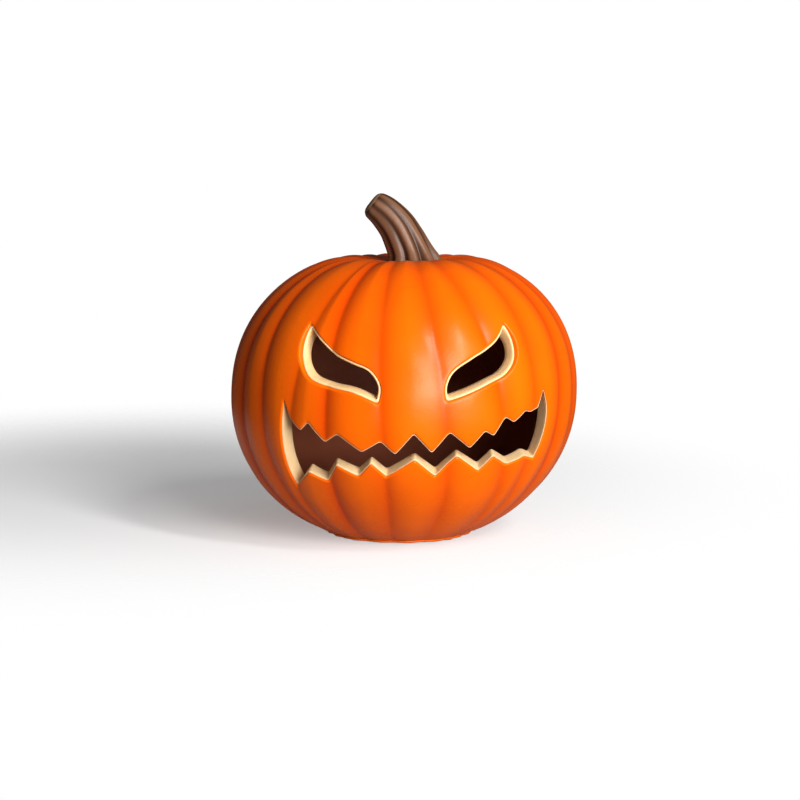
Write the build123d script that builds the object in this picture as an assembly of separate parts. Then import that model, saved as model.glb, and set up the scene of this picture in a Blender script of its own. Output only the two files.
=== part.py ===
from build123d import *
import os
from math import cos, degrees, exp, hypot, radians, sin

os.makedirs("parts", exist_ok=True)

# A glazed ceramic jack-o'-lantern with a battery tea light in its base.
#
# Frame: millimetres, +Z up, origin on the table under the middle of the figure. The face
# looks to -Y and +X is to the right of someone who looks at the face. A longitude is an angle
# about the upright axis, 0 at -Y and growing towards +X. A latitude is 0 at the widest level.

# Ceramic body: a polar superellipse turned about the axis, dimpled on top, leaning a little
BODY_RADIUS = 80.0
EQUATOR_Z = 64.5
UPPER_HEIGHT = 69.5
UPPER_POWER = 2.23
LOWER_HEIGHT = 69.0
LOWER_POWER = 2.08
DIMPLE_DEPTH = 9.0
DIMPLE_RADIUS = 24.0
LEAN = 0.03                  # sideways shift to +X for each millimetre of height
WALL = 7.0

# Grooves between the lobes: longitude at the equator, its drift for each degree of latitude,
# and the groove's share of the full depth.
# They run straight down the body past the two drift limits.
GROOVES = [
    (-171, 0.00, 1.0), (-152, 0.03, 0.9), (-133, -0.02, 1.0), (-115, 0.04, 1.0),
    (-98, 0.00, 1.0), (-82, -0.05, 0.9), (-67, -0.06, 1.0), (-52.5, -0.08, 0.8),
    (-38.5, 0.12, 0.6), (-25.5, 0.00, 0.9), (-7, -0.07, 0.7), (13, -0.12, 0.65),
    (33, -0.20, 0.6), (47, -0.03, 0.6), (62, 0.05, 0.8), (78, 0.03, 1.0), (95, 0.00, 1.0),
    (113, -0.03, 0.9), (132, 0.04, 1.0), (152, -0.02, 0.9), (171, 0.03, 1.0),
]
DRIFT_LIMITS = (-30, 55)
GROOVE_DEPTH = 1.9
GROOVE_HALF_WIDTH = 5.0      # distance over which a groove fades out
GROOVE_ROOT = 0.8            # rounding at the bottom of a groove
CAVITY_RELIEF = 0.4          # the lobes show this much inside
FADE_LENGTH = 12.0           # the grooves die out over this much latitude, under the stem
LOBE_STEPS = (0.0, 0.16, 0.5, 0.84)
RING_LATITUDES = (-75, -67, -59, -49, -38, -26, -13, 0, 13, 26, 38, 49, 58, 66, 73, 79, 84)

# Carved face: each cut is a closed chain of curves, given by the (longitude, latitude) points
# that a curve passes through. Straight cuts have two points.
LEFT_EYE = [
    [(-36.7, 27.9), (-37.6, 22.2), (-36.2, 16.6), (-32, 11.7), (-24.5, 9.2), (-16.4, 7.8), (-8.7, 4.8)],
    [(-8.7, 4.8), (-8.3, 9.2), (-11.4, 13.8), (-17.3, 16.2), (-22.9, 18.4), (-28.6, 22), (-36.7, 27.9)],
]
RIGHT_EYE = [
    [(37.5, 27.7), (39.8, 22), (39, 17.6), (34.5, 12.7), (27.6, 9.9), (20.8, 7.4), (13.9, 5.3)],
    [(13.9, 5.3), (13.5, 8.7), (14.7, 12.1), (22.4, 17.5), (28.3, 20.3), (32.6, 22.9), (37.5, 27.7)],
]
UPPER_TEETH = [
    (-41.3, 3.4), (-38.9, -2.6), (-34.4, -5.8), (-31.4, -2.9), (-25.8, -9.3), (-21.1, -6.1),
    (-13, -11.6), (-7.2, -8.1), (-2.3, -12.3), (3.3, -5.4), (9.3, -11.8), (14.9, -5.3),
    (21.7, -10.7), (26.5, -5.3), (29.9, -7.2), (34.2, -1.5), (37.4, -3.4), (41.9, -0.1),
    (44.6, -0.7), (48.3, 0.2), (50.7, 6.0),
]
RIGHT_CHEEK = [(50.7, 6.0), (52.4, 0.5), (52.3, -6.5), (50.2, -16.6)]
LOWER_TEETH = [
    (50.2, -16.6), (44.4, -15.1), (37.2, -17.3), (30.7, -13.5), (26, -18.4), (17.6, -12.6),
    (11.2, -19.7), (3.9, -13.4), (-5.2, -20.1), (-10.1, -14.9), (-14.6, -19.8), (-22.2, -16.3),
    (-26.7, -22.9), (-33.1, -19.5), (-41.6, -26.3),
]
LEFT_CHEEK = [(-41.6, -26.3), (-42.3, -18.5), (-42.1, -6), (-41.3, 3.4)]
EYE_LIFT = 0.9               # latitude that the knife gains as it goes through the wall
MOUTH_LIFT = 0.2
EYE_TAPER = 0.8              # the hole is this much narrower on each side at the cavity
MOUTH_TAPER = 0.0
EYE_FLARE = 0.0              # longitude gained in the wall, as a share of the longitude outside
MOUTH_FLARE = 0.08
FLARE_LIMITS = (-42.0, 58.0)  # the flare dies out before these longitudes
FLARE_FADE = 12.0
LIP_DEPTH = 1.5              # orange glaze runs this far into a cut, then the cream slip starts
EYE_LEDGE = 1.0              # the cream slip stands this far inside the orange lip
MOUTH_LEDGE = 0.4
MITRE_LIMIT = 0.5            # the mitres of sharper corners are cut short by this
CUT_FRONT_Y = -100.0
CUT_BACK_Y = -38.0

# Foot and base hole
FOOT_Z = 1.0
RECESS_RADIUS = 24.0
RECESS_Z = 4.0
CAVITY_FLOOR_Z = 9.0
THROUGH = 1.0                # a cutting shape runs this far past the face that it breaks
BASE_HOLE_RADIUS = 21.0
PAD_RADIUS = 2.8
PAD_CIRCLE_RADIUS = 27.2
PAD_COUNT = 4

# Stem: place of the centre (x, z), mean radius and depth of the ribs, from the root to the tip
STEM_SECTIONS = [
    (4.6, 119.0, 14.6, 0.14), (4.2, 123.5, 13.7, 0.15), (3.6, 127.0, 11.8, 0.13),
    (2.4, 131.0, 10.2, 0.10), (0.1, 136.0, 9.4, 0.08), (-3.3, 142.0, 8.7, 0.06),
    (-8.2, 147.6, 7.9, 0.04), (-13.3, 151.7, 6.8, 0.02), (-14.8, 152.8, 6.0, 0.01),
]
STEM_RIBS = 9
STEM_POINTS_PER_RIB = 4
STEM_RIB_MEAN = 0.4          # a rib stands out less than a groove goes in, by this share
STEM_TWIST = 18.0            # degrees that the ribs turn from the root to the tip

# Rubber ring in the base hole
RING_BORE_RADIUS = 19.05
RING_LOWER_Z = 2.8
RING_UPPER_Z = 10.2
RING_FLANGE_RADIUS = 23.3

# Tea light: cup, base plate and battery door
CUP_RADIUS = 18.95
CUP_WALL = 1.2
CUP_BOTTOM_Z = 1.8
CUP_TOP_Z = 14.5
CUP_LIP_RADIUS = 20.5
PLATE_RADIUS = 17.65
PLATE_TOP_Z = 3.0
DOOR_Y = 3.0                 # the battery sits a little behind the switch
DOOR_RADIUS = 11.3
DOOR_OPENING_RADIUS = 11.4
DOOR_TOP_Z = 3.85
LUG_RADIUS = 12.6
LUG_ROOT_RADIUS = 10.8
LUG_CLEARANCE = 0.05
LUG_COUNT = 3
LUG_ANGLE = 24.0
LUG_TURN = 60.0              # from locked to open
NOTCH_RADIUS = 12.8
NOTCH_ANGLE = 28.0
COIN_SLOT = (13.0, 1.6)
COIN_SLOT_DEPTH = 0.6

# Coin cell, its ring and its contacts
CELL_RADIUS = 10.0
CELL_Z = (4.1, 7.3)
CELL_CAP_RADIUS = 8.8
CELL_CAP_HEIGHT = 0.3
HOLDER_RADII = (10.3, 11.6)
HOLDER_GAP = (5.0, 6.0)
CONTACT_THICKNESS = 0.3
CONTACT_WIDTH = 4.0
CONTACT_GAP = 0.05           # between a leaf and the cell
NEGATIVE_LEAF_X = (-6.0, -2.5, 2.5, 5.0)
POSITIVE_LEAF_START = 0.4    # above the bottom of the cell
POSITIVE_LEAF_FOOT = 2.4

# Board and light
BOARD_RADIUS = 16.8
BOARD_Z = (9.2, 10.2)
BOARD_CLEARANCE = 0.1        # round the bosses of the cup
LED_RADIUS = 2.5
LED_BODY_TOP_Z = 15.8
LED_FLANGE_RADIUS = 2.9
LED_FLANGE_HEIGHT = 1.0
LEAD_PITCH = 2.54
LEAD_SIZE = (0.5, 0.5)
LEAD_STUB = 0.7              # under the board
LEAD_HOLE_RADIUS = 0.4
CHIP_PLACE = (8.0, 5.0)
CHIP_SIZE = (3.0, 1.7)
CHIP_Z = (0.1, 1.1)          # above the board
CHIP_LEG_SIZE = (0.4, 3.0)
CHIP_LEG_HEIGHT = 0.3
CHIP_LEG_PITCH = 0.95
RESISTOR_PLACE = (-8.0, 5.0)
RESISTOR_SIZE = (2.0, 1.25)
RESISTOR_HEIGHT = 0.55
LIGHT_BORE_RADIUS = 3.1

# Flame over the light: radius and height above the cup, from the foot to the tip
FLAME_FOOT_RADIUS = 5.5
FLAME_FOOT_HEIGHT = 1.0
FLAME_SIDE = [(4.1, 1.0), (4.2, 4.0), (2.6, 8.5), (0.0, 12.0)]
FLAME_HOLLOW = [(0.0, 5.5), (3.1, 4.2)]

# Screws and slide switch
SCREW_PLACES = [(-13.2, -7.6), (13.2, -7.6)]
SCREW_HOLE_RADIUS = 1.0
SCREW_SHANK_RADIUS = 0.95
SCREW_SHANK_TOP_Z = 8.0
SCREW_HEAD_RADIUS = 1.9
SCREW_HEAD_CLEARANCE = 0.05
SCREW_CROSS = (2.2, 0.5)     # length and width of each slot of the cross
SCREW_CROSS_DEPTH = 0.5
BOSS_RADIUS = 2.4
BOSS_SHOULDER_RADIUS = 3.0
SWITCH_Y = -12.5
SWITCH_CASE = (8.6, 3.8)
SWITCH_TOP_Z = 6.6
SWITCH_SLOT = (6.0, 2.6)
SWITCH_CHAMBER = (6.4, 3.0)
SWITCH_CHAMBER_Z = (3.4, 5.4)
KNOB_SIZE = (2.4, 2.2)
KNOB_FOOT_SIZE = (3.2, 2.8)
KNOB_FOOT_Z = (3.5, 5.2)
KNOB_BOTTOM_Z = 1.0
KNOB_OFF_X = -1.5            # the switch is off at this end of its slot
PIN_SIZE = (0.6, 0.3)
PIN_PLACES = (-2.5, 0.0, 2.5)


# ---- Shape of the ceramic body ---------------------------------------------------------------

def meridian(latitude):
    """Distance from the axis and height of the smooth body at a latitude."""
    angle = radians(latitude)
    height, power = (UPPER_HEIGHT, UPPER_POWER) if latitude > 0 else (LOWER_HEIGHT, LOWER_POWER)
    reach = ((cos(angle)/BODY_RADIUS)**power + (abs(sin(angle))/height)**power)**(-1/power)
    radius = reach*cos(angle)
    dimple = DIMPLE_DEPTH*exp(-(radius/DIMPLE_RADIUS)**2) if latitude > 0 else 0.0
    return radius, EQUATOR_Z + reach*sin(angle) - dimple


def outward(latitude):
    """Unit normal of the smooth body, as its radial and upward parts."""
    below, above = meridian(latitude - 0.1), meridian(latitude + 0.1)
    run, rise = above[0] - below[0], above[1] - below[1]
    length = hypot(run, rise)
    return rise/length, -run/length


def groove_longitudes(latitude):
    lowest, highest = DRIFT_LIMITS
    drifting = min(highest, max(lowest, latitude))
    return [longitude + drift*drifting for longitude, drift, _ in GROOVES]


def groove_relief(longitude, latitude):
    """How far the lobed surface lies under the smooth body."""
    radius = meridian(latitude)[0]
    deepest = 0.0
    for groove, (_, _, share) in zip(groove_longitudes(latitude), GROOVES):
        distance = radians(abs((longitude - groove + 180)%360 - 180))*radius
        fall = exp((GROOVE_ROOT - hypot(distance, GROOVE_ROOT))/GROOVE_HALF_WIDTH)
        deepest = max(deepest, share*fall)
    return GROOVE_DEPTH*deepest


def body_point(longitude, latitude, depth):
    """The point at a depth under the smooth body."""
    radius, z = meridian(latitude)
    normal_radius, normal_z = outward(latitude)
    radius -= depth*normal_radius
    z -= depth*normal_z
    angle = radians(longitude)
    return Vector(radius*sin(angle) + LEAN*(z - EQUATOR_Z), -radius*cos(angle), z)


def lobed_ring(latitude, inset, relief):
    """A closed curve round the body, with four points on each lobe."""
    grooves = groove_longitudes(latitude)
    following = grooves[1:] + [grooves[0] + 360]
    points = []
    for start, end in zip(grooves, following):
        for step in LOBE_STEPS:
            longitude = start + step*(end - start)
            depth = inset + relief*groove_relief(longitude, latitude)
            points.append(body_point(longitude, latitude, depth))
    parameters = [index/len(points) for index in range(len(points) + 1)]
    return Wire([Edge.make_spline(points, periodic=True, parameters=parameters)])


def lobed_body(inset, relief):
    """The solid inside the lobed surface, taken in by an inset. Its two end rings are flat."""
    rings = []
    for latitude in RING_LATITUDES:
        fade = min(1.0, max(0.0, (RING_LATITUDES[-1] - latitude)/FADE_LENGTH))
        if latitude == RING_LATITUDES[0]:
            fade = 0.0
        rings.append(lobed_ring(latitude, inset, relief*fade))
    return Solid.make_loft(rings)


# ---- Carved face -----------------------------------------------------------------------------

def grown(outline, distance):
    """An anticlockwise outline moved outward by a distance in millimetres, corners mitred."""
    chain = [point for curve in outline for point in curve[:-1]]
    moved = {}
    for index, point in enumerate(chain):
        before, after = chain[index - 1], chain[(index + 1)%len(chain)]
        sides = []
        for start, end in ((before, point), (point, after)):
            run, rise = end[0] - start[0], end[1] - start[1]
            length = hypot(run, rise)
            sides.append((rise/length, -run/length))
        (ax, ay), (bx, by) = sides
        spread = max(MITRE_LIMIT, 1 + ax*bx + ay*by)
        shift = degrees(distance/BODY_RADIUS)/spread
        moved[point] = (point[0] + shift*(ax + bx), point[1] + shift*(ay + by))
    return [[moved[point] for point in curve] for curve in outline]


def knife_point(outer_point, inner_point, lift, flare, plane_y):
    """Where the knife crosses an upright plane. It goes in at one place of the surface and comes
    out into the cavity behind another."""
    low, high = FLARE_LIMITS
    longitude, latitude = inner_point
    fade = min(1.0, max(0.0, min(longitude - low, high - longitude)/FLARE_FADE))
    outside = body_point(*outer_point, 0.0)
    inside = body_point(longitude*(1 + flare*fade), latitude + lift, WALL)
    direction = inside - outside
    return outside + direction*((plane_y - outside.Y)/direction.Y)


def carved_block(outline, lift, taper, flare, growth):
    """What the knife takes out: a ruled block that narrows towards the axis."""
    outer_curves, inner_curves = grown(outline, growth), grown(outline, growth - taper)
    sections = []
    for plane_y in (CUT_FRONT_Y, CUT_BACK_Y):
        edges = []
        for pair in zip(outer_curves, inner_curves):
            points = [knife_point(*places, lift, flare, plane_y) for places in zip(*pair)]
            is_straight = len(points) == 2
            edges.append(Edge.make_line(*points) if is_straight else Edge.make_spline(points))
        sections.append(Wire(edges))
    return Solid.make_loft(sections, ruled=True)


def straight_cuts(points):
    return [[start, end] for start, end in zip(points, points[1:])]


def mouth_outline():
    return straight_cuts(UPPER_TEETH) + [RIGHT_CHEEK] + straight_cuts(LOWER_TEETH) + [LEFT_CHEEK]


def anticlockwise(outline):
    """The same outline, run so that the cut is on the left and the clay on the right."""
    chain = [point for curve in outline for point in curve[:-1]]
    area = sum(a[0]*b[1] - b[0]*a[1] for a, b in zip(chain, chain[1:] + chain[:1]))
    return outline if area > 0 else [curve[::-1] for curve in outline[::-1]]


# ---- Plain shapes ----------------------------------------------------------------------------

def disc(radius, bottom, top, x=0.0, y=0.0):
    standing = (Align.CENTER, Align.CENTER, Align.MIN)
    return Pos(x, y, bottom)*Cylinder(radius, top - bottom, align=standing)


def block(size, bottom, top, x=0.0, y=0.0):
    standing = (Align.CENTER, Align.CENTER, Align.MIN)
    return Pos(x, y, bottom)*Box(size[0], size[1], top - bottom, align=standing)


def sector(radius, middle_angle, width_angle, bottom, top):
    """A slice of a disc about the door's axis."""
    half = width_angle/2
    reach = 2*radius
    corners = [(0, 0)]
    for angle in (middle_angle - half, middle_angle + half):
        corners.append((reach*cos(radians(angle)), reach*sin(radians(angle))))
    wedge = extrude(make_face(Polyline(*corners, close=True)), top - bottom)
    return Pos(0, DOOR_Y, bottom)*(wedge & disc(radius, 0, top - bottom))


def bent_strip(points, width, plane):
    """A sheet-metal strip whose middle line is drawn in an upright plane."""
    return extrude(plane*trace(Polyline(*points), CONTACT_THICKNESS), width/2, both=True)


# ---- Ceramic parts ---------------------------------------------------------------------------

def make_pumpkin_shell(outer, cavity, blocks):
    shell = outer - disc(BODY_RADIUS, -BODY_RADIUS, FOOT_Z) - cavity
    shell -= disc(RECESS_RADIUS, 0, RECESS_Z)
    shell -= disc(BASE_HOLE_RADIUS, 0, CAVITY_FLOOR_Z + THROUGH)
    for carved in blocks:
        shell -= carved
    return shell


def make_trim(inner_layer, wide_block, block_taken_out):
    """Cream slip on the walls of one cut."""
    return (inner_layer & wide_block) - block_taken_out


def stem_ring(origin, heading, radius, rib_depth, turn):
    """A ribbed closed curve about a point of the stem's middle line."""
    plane = Plane(origin=origin, x_dir=(0, -1, 0), z_dir=heading)
    count = STEM_POINTS_PER_RIB*STEM_RIBS
    points = []
    for step in range(count):
        angle = 360*step/count
        reach = radius*(1 + rib_depth*(cos(radians(STEM_RIBS*angle)) - STEM_RIB_MEAN))
        turned = radians(angle + turn)
        points.append(plane.from_local_coords(Vector(reach*cos(turned), reach*sin(turned), 0)))
    parameters = [step/count for step in range(count + 1)]
    return Wire([Edge.make_spline(points, periodic=True, parameters=parameters)])


def make_stem(outer):
    last = len(STEM_SECTIONS) - 1
    rings = []
    for index, (x, z, radius, rib_depth) in enumerate(STEM_SECTIONS):
        before = STEM_SECTIONS[max(index - 1, 0)]
        after = STEM_SECTIONS[min(index + 1, last)]
        heading = (after[0] - before[0], 0, after[1] - before[1])
        rings.append(stem_ring((x, 0, z), heading, radius, rib_depth, STEM_TWIST*index/last))
    return Solid.make_loft(rings) - outer


def make_foot_pads():
    places = PolarLocations(PAD_CIRCLE_RADIUS, PAD_COUNT, start_angle=45)
    return Compound([place*disc(PAD_RADIUS, 0, FOOT_Z) for place in places])


def make_lamp_ring():
    ring = disc(BASE_HOLE_RADIUS, RING_LOWER_Z, RING_UPPER_Z)
    ring += disc(RING_FLANGE_RADIUS, RING_LOWER_Z, RECESS_Z)
    ring += disc(RING_FLANGE_RADIUS, CAVITY_FLOOR_Z, RING_UPPER_Z)
    return ring - disc(RING_BORE_RADIUS, 0, RING_UPPER_Z + THROUGH)


# ---- Tea light -------------------------------------------------------------------------------

def make_lamp_cup():
    ceiling_z = CUP_TOP_Z - CUP_WALL
    hollow_radius = CUP_RADIUS - CUP_WALL
    cup = disc(CUP_RADIUS, CUP_BOTTOM_Z, CUP_TOP_Z) - disc(hollow_radius, 0, ceiling_z)
    cup += disc(CUP_LIP_RADIUS, CUP_BOTTOM_Z, RING_LOWER_Z) - disc(hollow_radius, 0, CUP_TOP_Z)
    for x, y in SCREW_PLACES:
        shoulder = disc(BOSS_SHOULDER_RADIUS, BOARD_Z[1], ceiling_z, x, y)
        cup += disc(BOSS_RADIUS, PLATE_TOP_Z, ceiling_z, x, y)
        cup += shoulder & disc(CUP_RADIUS, 0, CUP_TOP_Z)
    for x, y in SCREW_PLACES:
        cup -= disc(SCREW_HOLE_RADIUS, 0, BOARD_Z[0], x, y)
    return cup - disc(LIGHT_BORE_RADIUS, 0, CUP_TOP_Z + THROUGH)


def screw_head(x, y, clearance):
    height = SCREW_HEAD_RADIUS - SCREW_HOLE_RADIUS
    cone = Cone(SCREW_HEAD_RADIUS + clearance, SCREW_HOLE_RADIUS + clearance, height)
    return Pos(x, y, CUP_BOTTOM_Z + height/2)*cone


def make_lamp_base_plate():
    above = PLATE_TOP_Z + THROUGH
    plate = disc(PLATE_RADIUS, CUP_BOTTOM_Z, PLATE_TOP_Z)
    plate -= disc(DOOR_OPENING_RADIUS, 0, above, 0, DOOR_Y)
    for index in range(LUG_COUNT):
        middle = 90 + LUG_TURN + 360*index/LUG_COUNT
        plate -= sector(NOTCH_RADIUS, middle, NOTCH_ANGLE, 0, above)
    plate -= block(SWITCH_SLOT, 0, above, 0, SWITCH_Y)
    for x, y in SCREW_PLACES:
        plate -= disc(SCREW_HOLE_RADIUS, 0, above, x, y)
        plate -= screw_head(x, y, SCREW_HEAD_CLEARANCE)
    return plate


def make_battery_door():
    door = disc(DOOR_RADIUS, CUP_BOTTOM_Z, DOOR_TOP_Z, 0, DOOR_Y)
    door -= disc(DOOR_RADIUS - CUP_WALL, PLATE_TOP_Z, DOOR_TOP_Z, 0, DOOR_Y)
    lug_rim = disc(LUG_RADIUS, 0, CUP_TOP_Z, 0, DOOR_Y) - disc(LUG_ROOT_RADIUS, 0, CUP_TOP_Z, 0, DOOR_Y)
    for index in range(LUG_COUNT):
        middle = 90 + 360*index/LUG_COUNT
        lug = sector(LUG_RADIUS, middle, LUG_ANGLE, PLATE_TOP_Z + LUG_CLEARANCE, DOOR_TOP_Z)
        door += lug & lug_rim
    return door - block(COIN_SLOT, CUP_BOTTOM_Z, CUP_BOTTOM_Z + COIN_SLOT_DEPTH, 0, DOOR_Y)


def make_coin_cell():
    step_z = CELL_Z[1] - CELL_CAP_HEIGHT
    can = disc(CELL_RADIUS, CELL_Z[0], step_z, 0, DOOR_Y)
    return can + disc(CELL_CAP_RADIUS, step_z, CELL_Z[1], 0, DOOR_Y)


def make_battery_holder():
    inner, outer = HOLDER_RADII
    holder = disc(outer, CELL_Z[0], BOARD_Z[0], 0, DOOR_Y) - disc(inner, 0, BOARD_Z[0], 0, DOOR_Y)
    return holder - block(HOLDER_GAP, 0, CUP_TOP_Z, 0, DOOR_Y + outer)


def make_contact_negative():
    """A leaf under the board that bears on the cap of the cell."""
    board_side = BOARD_Z[0] - CONTACT_THICKNESS/2
    cell_side = CELL_Z[1] + CONTACT_THICKNESS/2 + CONTACT_GAP
    heights = (board_side, board_side, cell_side, cell_side)
    leaf = bent_strip(list(zip(NEGATIVE_LEAF_X, heights)), CONTACT_WIDTH, Plane.XZ)
    return Pos(0, DOOR_Y, 0)*leaf


def make_contact_positive():
    """A leaf that stands in the holder's gap against the side of the cell."""
    near = DOOR_Y + CELL_RADIUS + CONTACT_THICKNESS/2 + CONTACT_GAP
    start_z = CELL_Z[0] + POSITIVE_LEAF_START
    board_side = BOARD_Z[0] - CONTACT_THICKNESS/2
    line = [(near, start_z), (near, board_side), (near + POSITIVE_LEAF_FOOT, board_side)]
    return bent_strip(line, CONTACT_WIDTH, Plane.YZ)


def make_circuit_board():
    board = disc(BOARD_RADIUS, *BOARD_Z)
    for x, y in SCREW_PLACES:
        board -= disc(BOSS_RADIUS + BOARD_CLEARANCE, 0, CUP_TOP_Z, x, y)
    for side in (-1, 1):
        board -= disc(LEAD_HOLE_RADIUS, 0, CUP_TOP_Z, side*LEAD_PITCH/2)
    return board


def make_led():
    led = disc(LED_RADIUS, BOARD_Z[1], LED_BODY_TOP_Z)
    led += disc(LED_FLANGE_RADIUS, BOARD_Z[1], BOARD_Z[1] + LED_FLANGE_HEIGHT)
    return led + Pos(0, 0, LED_BODY_TOP_Z)*Sphere(LED_RADIUS)


def make_led_leads():
    bottom = BOARD_Z[0] - LEAD_STUB
    places = [side*LEAD_PITCH/2 for side in (-1, 1)]
    return Compound([block(LEAD_SIZE, bottom, BOARD_Z[1], x) for x in places])


def make_flicker_chip():
    x, y = CHIP_PLACE
    top_of_board = BOARD_Z[1]
    chip = block(CHIP_SIZE, top_of_board + CHIP_Z[0], top_of_board + CHIP_Z[1], x, y)
    for side in (-1, 0, 1):
        leg_x = x + side*CHIP_LEG_PITCH
        chip += block(CHIP_LEG_SIZE, top_of_board, top_of_board + CHIP_LEG_HEIGHT, leg_x, y)
    return chip


def make_resistor():
    return block(RESISTOR_SIZE, BOARD_Z[1], BOARD_Z[1] + RESISTOR_HEIGHT, *RESISTOR_PLACE)


def make_flame_lens():
    """A hollow flame of milky plastic over the light, drawn as half a section."""
    side_points = [(radius, CUP_TOP_Z + height) for radius, height in FLAME_SIDE]
    hollow_points = [(radius, CUP_TOP_Z + height) for radius, height in FLAME_HOLLOW]
    bore = (LIGHT_BORE_RADIUS, CUP_TOP_Z)
    rim = (FLAME_FOOT_RADIUS, CUP_TOP_Z)
    shoulder = (FLAME_FOOT_RADIUS, CUP_TOP_Z + FLAME_FOOT_HEIGHT)
    with BuildLine() as half:
        Polyline(bore, rim, shoulder, side_points[0])
        Spline(*side_points)
        Polyline(side_points[-1], *hollow_points, bore)
    return revolve(Plane.XZ*make_face(half.line), Axis.Z)


def make_switch_case():
    case = block(SWITCH_CASE, PLATE_TOP_Z, SWITCH_TOP_Z, 0, SWITCH_Y)
    case -= block(SWITCH_SLOT, PLATE_TOP_Z, SWITCH_CHAMBER_Z[1], 0, SWITCH_Y)
    return case - block(SWITCH_CHAMBER, *SWITCH_CHAMBER_Z, 0, SWITCH_Y)


def make_switch_knob():
    knob = block(KNOB_FOOT_SIZE, *KNOB_FOOT_Z, KNOB_OFF_X, SWITCH_Y)
    return knob + block(KNOB_SIZE, KNOB_BOTTOM_Z, KNOB_FOOT_Z[1], KNOB_OFF_X, SWITCH_Y)


def make_switch_pins():
    pins = [block(PIN_SIZE, SWITCH_TOP_Z, BOARD_Z[0], x, SWITCH_Y) for x in PIN_PLACES]
    return Compound(pins)


def make_plate_screws():
    length, width = SCREW_CROSS
    screws = []
    for x, y in SCREW_PLACES:
        shank = disc(SCREW_SHANK_RADIUS, CUP_BOTTOM_Z, SCREW_SHANK_TOP_Z, x, y)
        screw = shank + screw_head(x, y, 0.0)
        for size in ((length, width), (width, length)):
            screw -= block(size, CUP_BOTTOM_Z, CUP_BOTTOM_Z + SCREW_CROSS_DEPTH, x, y)
        screws.append(screw)
    return Compound(screws)


# ---- Build and write every sub-part ----------------------------------------------------------

outer_body = lobed_body(0.0, 1.0)
cavity_body = lobed_body(WALL, CAVITY_RELIEF) - disc(BODY_RADIUS, -BODY_RADIUS, CAVITY_FLOOR_Z)
slip_layer = lobed_body(LIP_DEPTH, 1.0) - cavity_body

cuts = {
    "left_eye_trim": (anticlockwise(LEFT_EYE), EYE_LIFT, EYE_TAPER, EYE_FLARE),
    "right_eye_trim": (anticlockwise(RIGHT_EYE), EYE_LIFT, EYE_TAPER, EYE_FLARE),
    "mouth_trim": (anticlockwise(mouth_outline()), MOUTH_LIFT, MOUTH_TAPER, MOUTH_FLARE),
}
ledges = {"left_eye_trim": EYE_LEDGE, "right_eye_trim": EYE_LEDGE, "mouth_trim": MOUTH_LEDGE}
wide_blocks = {name: carved_block(*cut, ledges[name]) for name, cut in cuts.items()}
open_blocks = {name: carved_block(*cut, 0.0) for name, cut in cuts.items()}

nodes = {name: make_trim(slip_layer, wide_blocks[name], open_blocks[name]) for name in cuts}
nodes["pumpkin_shell"] = make_pumpkin_shell(outer_body, cavity_body, wide_blocks.values())
nodes["stem"] = make_stem(outer_body)
nodes["foot_pads"] = make_foot_pads()
nodes["lamp_ring"] = make_lamp_ring()
nodes["lamp_cup"] = make_lamp_cup()
nodes["lamp_base_plate"] = make_lamp_base_plate()
nodes["battery_door"] = make_battery_door()
nodes["coin_cell"] = make_coin_cell()
nodes["battery_holder"] = make_battery_holder()
nodes["contact_negative"] = make_contact_negative()
nodes["contact_positive"] = make_contact_positive()
nodes["circuit_board"] = make_circuit_board()
nodes["led"] = make_led()
nodes["led_leads"] = make_led_leads()
nodes["flicker_chip"] = make_flicker_chip()
nodes["resistor"] = make_resistor()
nodes["flame_lens"] = make_flame_lens()
nodes["switch_case"] = make_switch_case()
nodes["switch_knob"] = make_switch_knob()
nodes["switch_pins"] = make_switch_pins()
nodes["plate_screws"] = make_plate_screws()

for name, shape in nodes.items():
    export_step(shape, f"parts/{name}.step")
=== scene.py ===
from math import atan2, ceil, cos, degrees, exp, hypot, pi, radians, sin

import bpy
import numpy as np
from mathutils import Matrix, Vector, geometry


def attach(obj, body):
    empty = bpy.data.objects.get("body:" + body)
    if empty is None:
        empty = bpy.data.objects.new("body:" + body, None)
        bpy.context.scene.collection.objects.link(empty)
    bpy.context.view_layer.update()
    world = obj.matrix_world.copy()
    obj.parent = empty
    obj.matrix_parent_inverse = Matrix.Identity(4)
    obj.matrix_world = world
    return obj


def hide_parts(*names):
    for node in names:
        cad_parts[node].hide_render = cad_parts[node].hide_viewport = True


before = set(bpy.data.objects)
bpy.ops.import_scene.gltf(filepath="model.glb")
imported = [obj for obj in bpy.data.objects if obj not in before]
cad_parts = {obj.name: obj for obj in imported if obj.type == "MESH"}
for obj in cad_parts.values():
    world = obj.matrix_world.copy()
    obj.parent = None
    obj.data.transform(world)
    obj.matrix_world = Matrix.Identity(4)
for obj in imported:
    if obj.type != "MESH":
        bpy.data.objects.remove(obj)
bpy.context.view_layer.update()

# A glazed ceramic jack-o'-lantern with a battery tea light in its base.
#
# Shapes are worked out in millimetres and stored in metres, in the frame of the CAD model.
# A longitude is an angle about the upright axis, 0 at -Y and growing towards +X. A latitude is
# 0 at the widest level. A growth is a distance outward from the edge of a cut, along the surface.
MM = 0.001

# Ceramic body: a polar superellipse turned about the axis, dimpled on top, leaning a little
BODY_RADIUS = 80.0
EQUATOR_Z = 64.5
UPPER_HEIGHT = 69.5
UPPER_POWER = 2.23
LOWER_HEIGHT = 69.0
LOWER_POWER = 2.08
DIMPLE_DEPTH = 9.0
DIMPLE_RADIUS = 24.0
LEAN = 0.03
WALL = 7.0

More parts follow.
